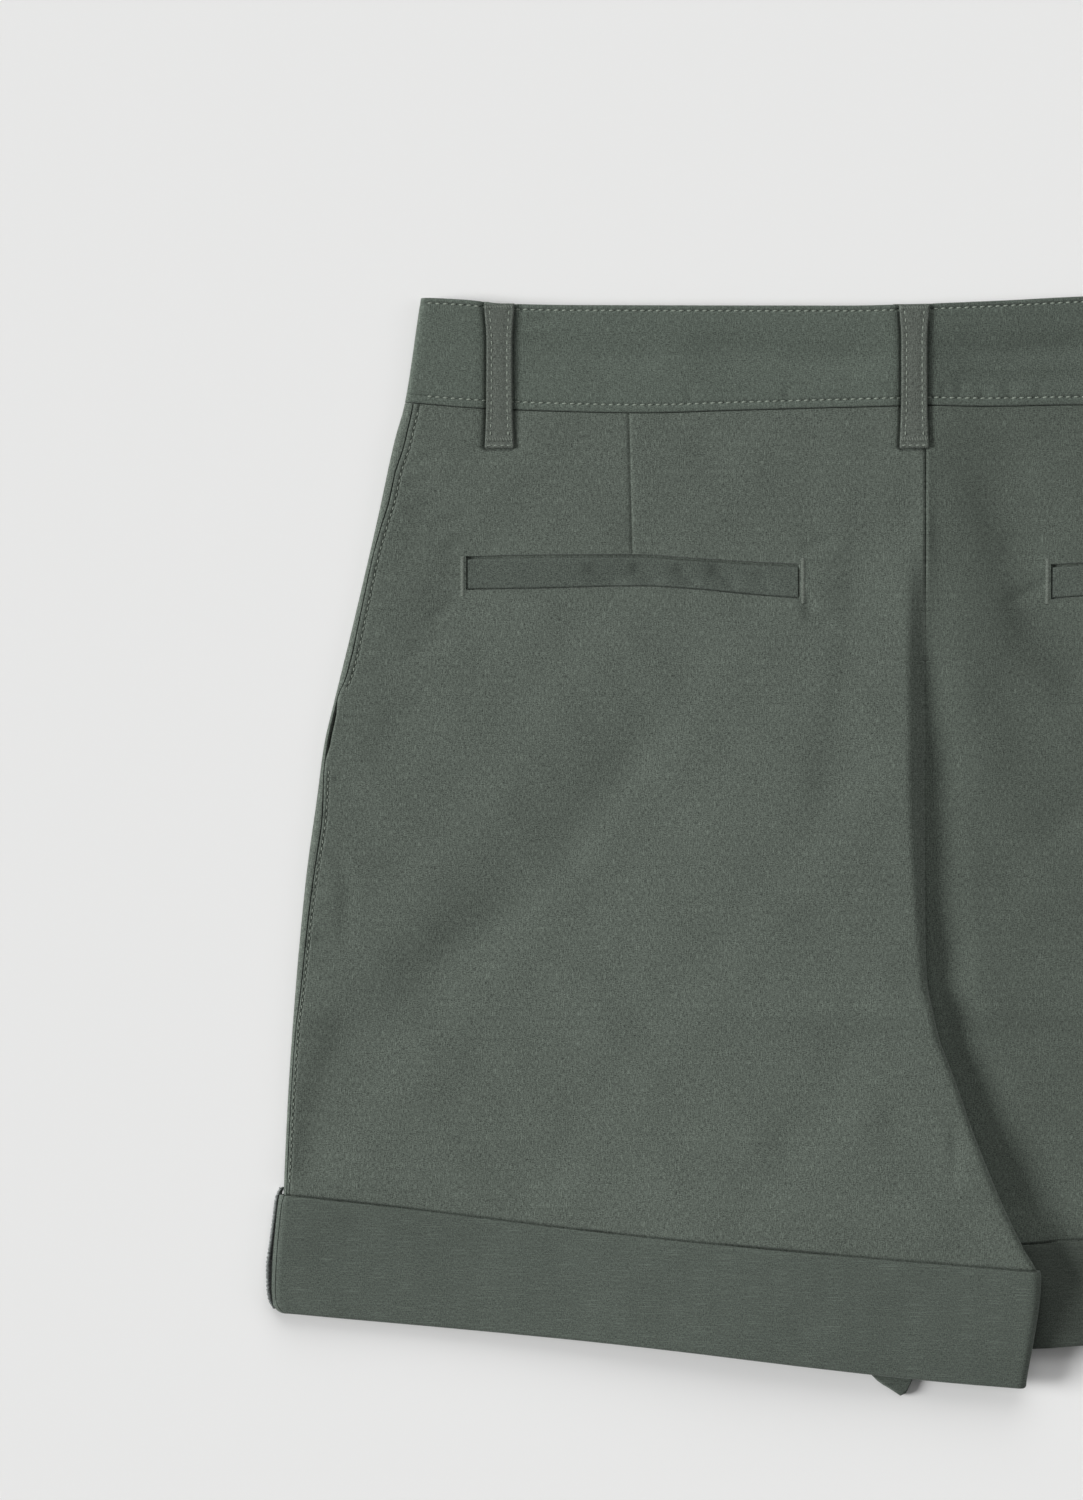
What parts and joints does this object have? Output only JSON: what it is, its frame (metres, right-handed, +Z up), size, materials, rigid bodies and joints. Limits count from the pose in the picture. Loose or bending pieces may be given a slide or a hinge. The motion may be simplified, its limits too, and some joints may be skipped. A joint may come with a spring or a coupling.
{
  "type": "chino shorts laid flat, back up",
  "caption": "Cuffed cotton chino shorts lying flat with the back up: waistband, belt loops, darts, welt pockets and turn-ups, with the left leg over the right.",
  "frame": {"origin": "on the surface that the shorts lie on, under the middle of their outline", "axes": "+X towards the wearer's right side, +Y towards the waist, +Z up, away from the surface and out of the back"},
  "size_m": [0.4954, 0.415, 0.0131],
  "materials": {
    "body_cloth": "matt brushed cotton twill, grey green",
    "band_cloth": "matt cotton twill, grey green, topstitched",
    "cuff_cloth": "back of the twill, with fine level slubs",
    "serged_edge": "overlocked raw edge in thread of the cloth's colour",
    "button": "semi-matt resin"
  },
  "bodies": {
    "root": {"waistband_back": "band_cloth", "waistband_front_left": "band_cloth", "waistband_front_right": "band_cloth", "waist_button": "button", "belt_loop_back_left": "body_cloth", "belt_loop_back_centre": "body_cloth", "belt_loop_back_right": "body_cloth", "belt_loop_front_left": "body_cloth", "belt_loop_front_right": "body_cloth", "back_panel_left": "body_cloth", "back_panel_right": "body_cloth", "front_panel_left": "body_cloth", "front_panel_right": "body_cloth", "pocket_welt_left": "body_cloth", "pocket_welt_right": "body_cloth", "cuff_back_left": "cuff_cloth", "cuff_back_right": "cuff_cloth", "cuff_front_left": "cuff_cloth", "cuff_front_right": "cuff_cloth", "cuff_seam_left": "serged_edge", "cuff_seam_right": "serged_edge"}
  },
  "joints": []
}
